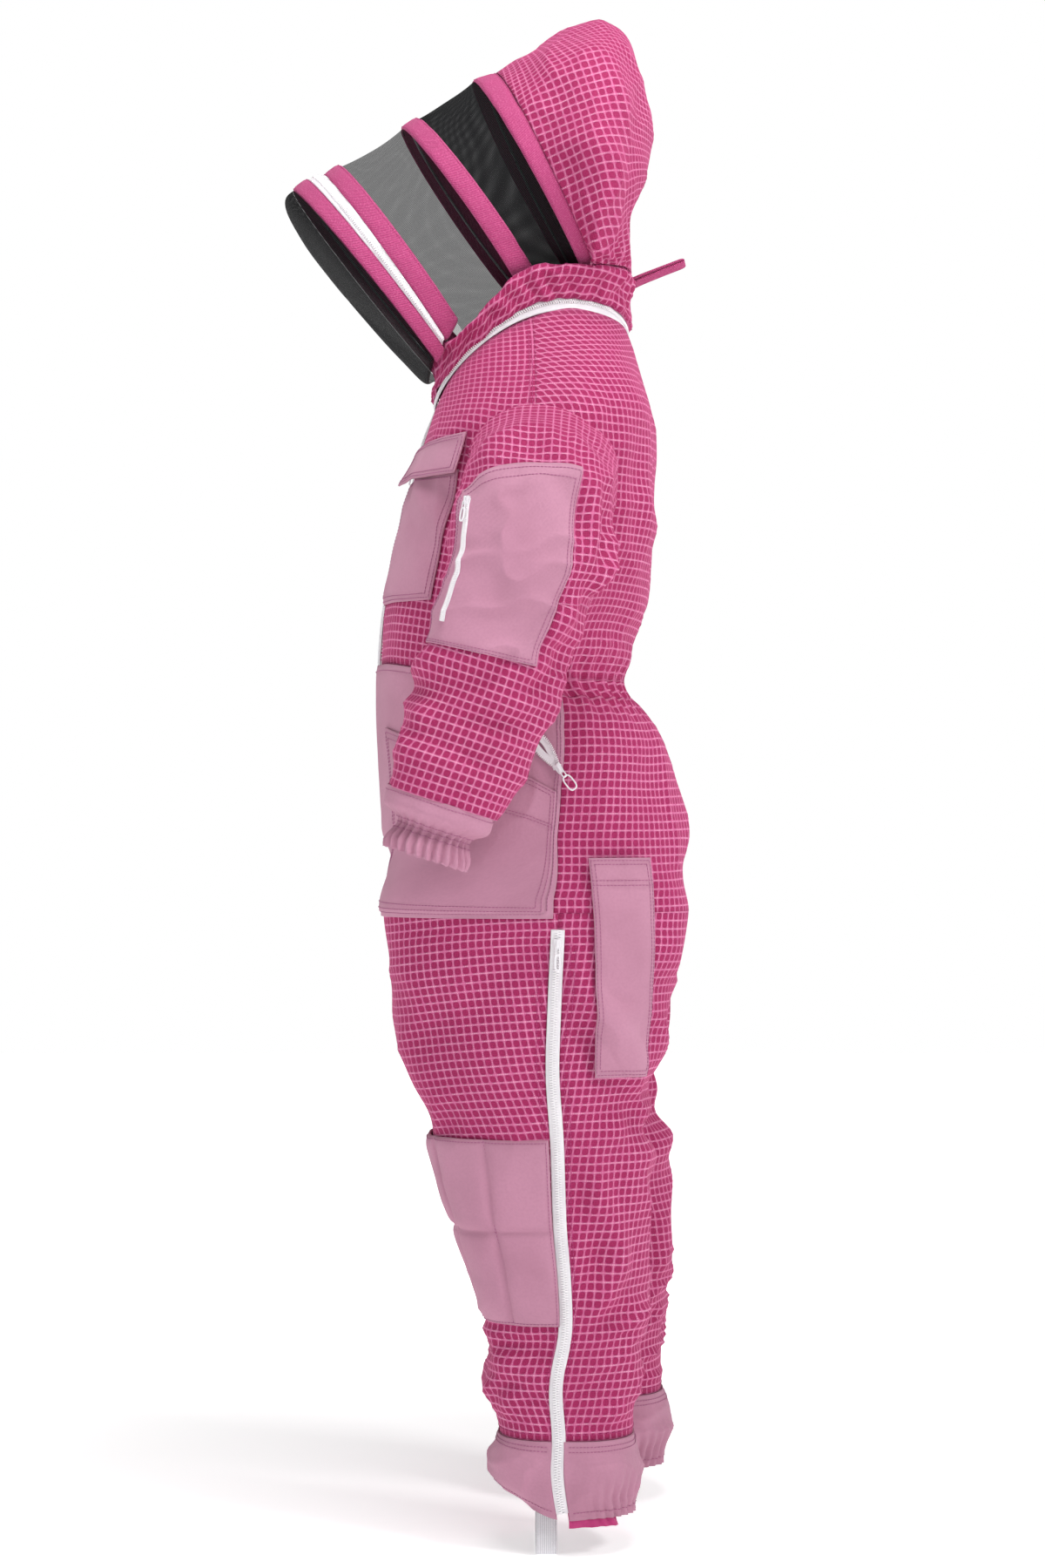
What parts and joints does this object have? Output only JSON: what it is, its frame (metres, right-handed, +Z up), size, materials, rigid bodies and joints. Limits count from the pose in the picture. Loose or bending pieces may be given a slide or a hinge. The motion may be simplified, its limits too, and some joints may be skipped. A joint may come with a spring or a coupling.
{
  "type": "beekeeping suit",
  "caption": "Ventilated beekeeping coverall with a hooped veil hood, zipped front, legs and hips, knee patches, pockets and elastic stirrups, shown as worn.",
  "frame": {"origin": "the point on the floor between the wearer's feet, under the suit as worn", "axes": "+Z up; -Y is the front of the suit; +X is the wearer's left"},
  "size_m": [0.6349, 0.4533, 1.7059],
  "materials": {
    "ventilated_fabric": "pink three-layer ventilated mesh with a grid of rounded square cells",
    "plain_cotton": "pale pink plain-weave cotton",
    "twill_tape": "pink twill tape with stitched edges",
    "veil_mesh": "fine black see-through veil netting",
    "zip_chain": "white moulded zip teeth on woven white tape",
    "zip_slider": "white enamelled zip slider and pull",
    "hoop_wire": "spring steel wire hoop",
    "stirrup_elastic": "off-white knitted elastic webbing"
  },
  "bodies": {
    "garment": {"front_panel_left": "ventilated_fabric", "front_panel_right": "ventilated_fabric", "back_panel": "ventilated_fabric", "seat_panel": "ventilated_fabric", "waist_elastic": "ventilated_fabric", "leg_front_left": "ventilated_fabric", "leg_front_right": "ventilated_fabric", "leg_back_left": "ventilated_fabric", "leg_back_right": "ventilated_fabric", "hip_panel_left": "plain_cotton", "hip_panel_right": "plain_cotton", "knee_patch_left": "plain_cotton", "knee_patch_right": "plain_cotton", "hem_cuff_left": "plain_cotton", "hem_cuff_right": "plain_cotton", "tool_pocket": "plain_cotton", "chest_pocket": "plain_cotton", "front_zip": "zip_chain", "leg_zip_left": "zip_chain", "leg_zip_right": "zip_chain", "hip_zip_left": "zip_chain", "hip_zip_right": "zip_chain", "neck_zip_lower": "zip_chain", "stirrup_left": "stirrup_elastic", "stirrup_right": "stirrup_elastic"},
    "hood": {"hood_crown": "ventilated_fabric", "hood_collar": "ventilated_fabric", "band_rear": "twill_tape", "mesh_rear": "veil_mesh", "band_middle": "twill_tape", "mesh_middle": "veil_mesh", "band_front": "twill_tape", "veil_zip_inner": "zip_chain", "neck_zip_upper": "zip_chain", "hoop_rear": "hoop_wire", "hoop_middle": "hoop_wire", "hoop_front": "hoop_wire", "hanging_loop": "twill_tape"},
    "veil_front": {"veil_zip_outer": "zip_chain", "band_nose": "twill_tape", "mesh_nose": "veil_mesh", "hoop_nose": "hoop_wire"},
    "flap": {"chest_flap": "plain_cotton"},
    "arm_left": {"sleeve_upper_left": "ventilated_fabric", "sleeve_elbow_left": "ventilated_fabric", "sleeve_pocket": "plain_cotton"},
    "arm_right": {"sleeve_upper_right": "ventilated_fabric", "sleeve_elbow_right": "ventilated_fabric"},
    "forearm_left": {"sleeve_lower_left": "ventilated_fabric", "sleeve_cuff_left": "plain_cotton"},
    "forearm_right": {"sleeve_lower_right": "ventilated_fabric", "sleeve_cuff_right": "plain_cotton"},
    "front_slider_body": {"front_slider": "zip_slider"},
    "leg_slider_left_body": {"leg_slider_left": "zip_slider"},
    "leg_slider_right_body": {"leg_slider_right": "zip_slider"},
    "hip_slider_left_body": {"hip_slider_left": "zip_slider"},
    "hip_slider_right_body": {"hip_slider_right": "zip_slider"},
    "sleeve_slider_body": {"sleeve_slider": "zip_slider"}
  },
  "joints": [
    {"name": "hood_flip", "type": "hinge", "parent": "garment", "child": "hood", "pos_m": [0, 0.162, 1.356], "axis": [-1, 0, 0], "range_deg": [0, 110]},
    {"name": "veil_open", "type": "hinge", "parent": "hood", "child": "veil_front", "pos_m": [0, -0.068, 1.299], "axis": [1, 0, 0], "range_deg": [0, 85]},
    {"name": "flap_lift", "type": "hinge", "parent": "garment", "child": "flap", "pos_m": [0.1237, -0.05361, 1.22433], "axis": [-0.909, -0.4116, -0.0656], "range_deg": [0, 85]},
    {"name": "shoulder_left", "type": "hinge", "parent": "garment", "child": "arm_left", "pos_m": [0.2075, 0.059, 1.158], "axis": [-1, 0, 0], "range_deg": [-12, 45]},
    {"name": "elbow_left", "type": "hinge", "parent": "arm_left", "child": "forearm_left", "pos_m": [0.261, 0.005, 0.936], "axis": [-1, 0, 0], "range_deg": [0, 45], "deforming": ["sleeve_elbow_left"]},
    {"name": "shoulder_right", "type": "hinge", "parent": "garment", "child": "arm_right", "pos_m": [-0.2075, 0.059, 1.158], "axis": [-1, 0, 0], "range_deg": [-12, 45]},
    {"name": "elbow_right", "type": "hinge", "parent": "arm_right", "child": "forearm_right", "pos_m": [-0.261, 0.005, 0.936], "axis": [-1, 0, 0], "range_deg": [0, 45], "deforming": ["sleeve_elbow_right"]},
    {"name": "front_zip_slide", "type": "slide", "parent": "garment", "child": "front_slider_body", "axis": [0, -0.2337, -0.9723], "range_m": [0, 0.14]},
    {"name": "leg_zip_slide_left", "type": "slide", "parent": "garment", "child": "leg_slider_left_body", "axis": [-0.0034, -0.0324, -0.9995], "range_m": [0, 0.13]},
    {"name": "leg_zip_slide_right", "type": "slide", "parent": "garment", "child": "leg_slider_right_body", "axis": [0.0034, 0.0605, -0.9982], "range_m": [0, 0.13]},
    {"name": "hip_zip_slide_left", "type": "slide", "parent": "garment", "child": "hip_slider_left_body", "axis": [-0.0978, -0.603, 0.7917], "range_m": [0, 0.05]},
    {"name": "hip_zip_slide_right", "type": "slide", "parent": "garment", "child": "hip_slider_right_body", "axis": [0.0978, -0.603, 0.7917], "range_m": [0, 0.05]},
    {"name": "sleeve_zip_slide", "type": "slide", "parent": "arm_left", "child": "sleeve_slider_body", "axis": [0.1974, -0.1207, -0.9729], "range_m": [0, 0.045]}
  ]
}
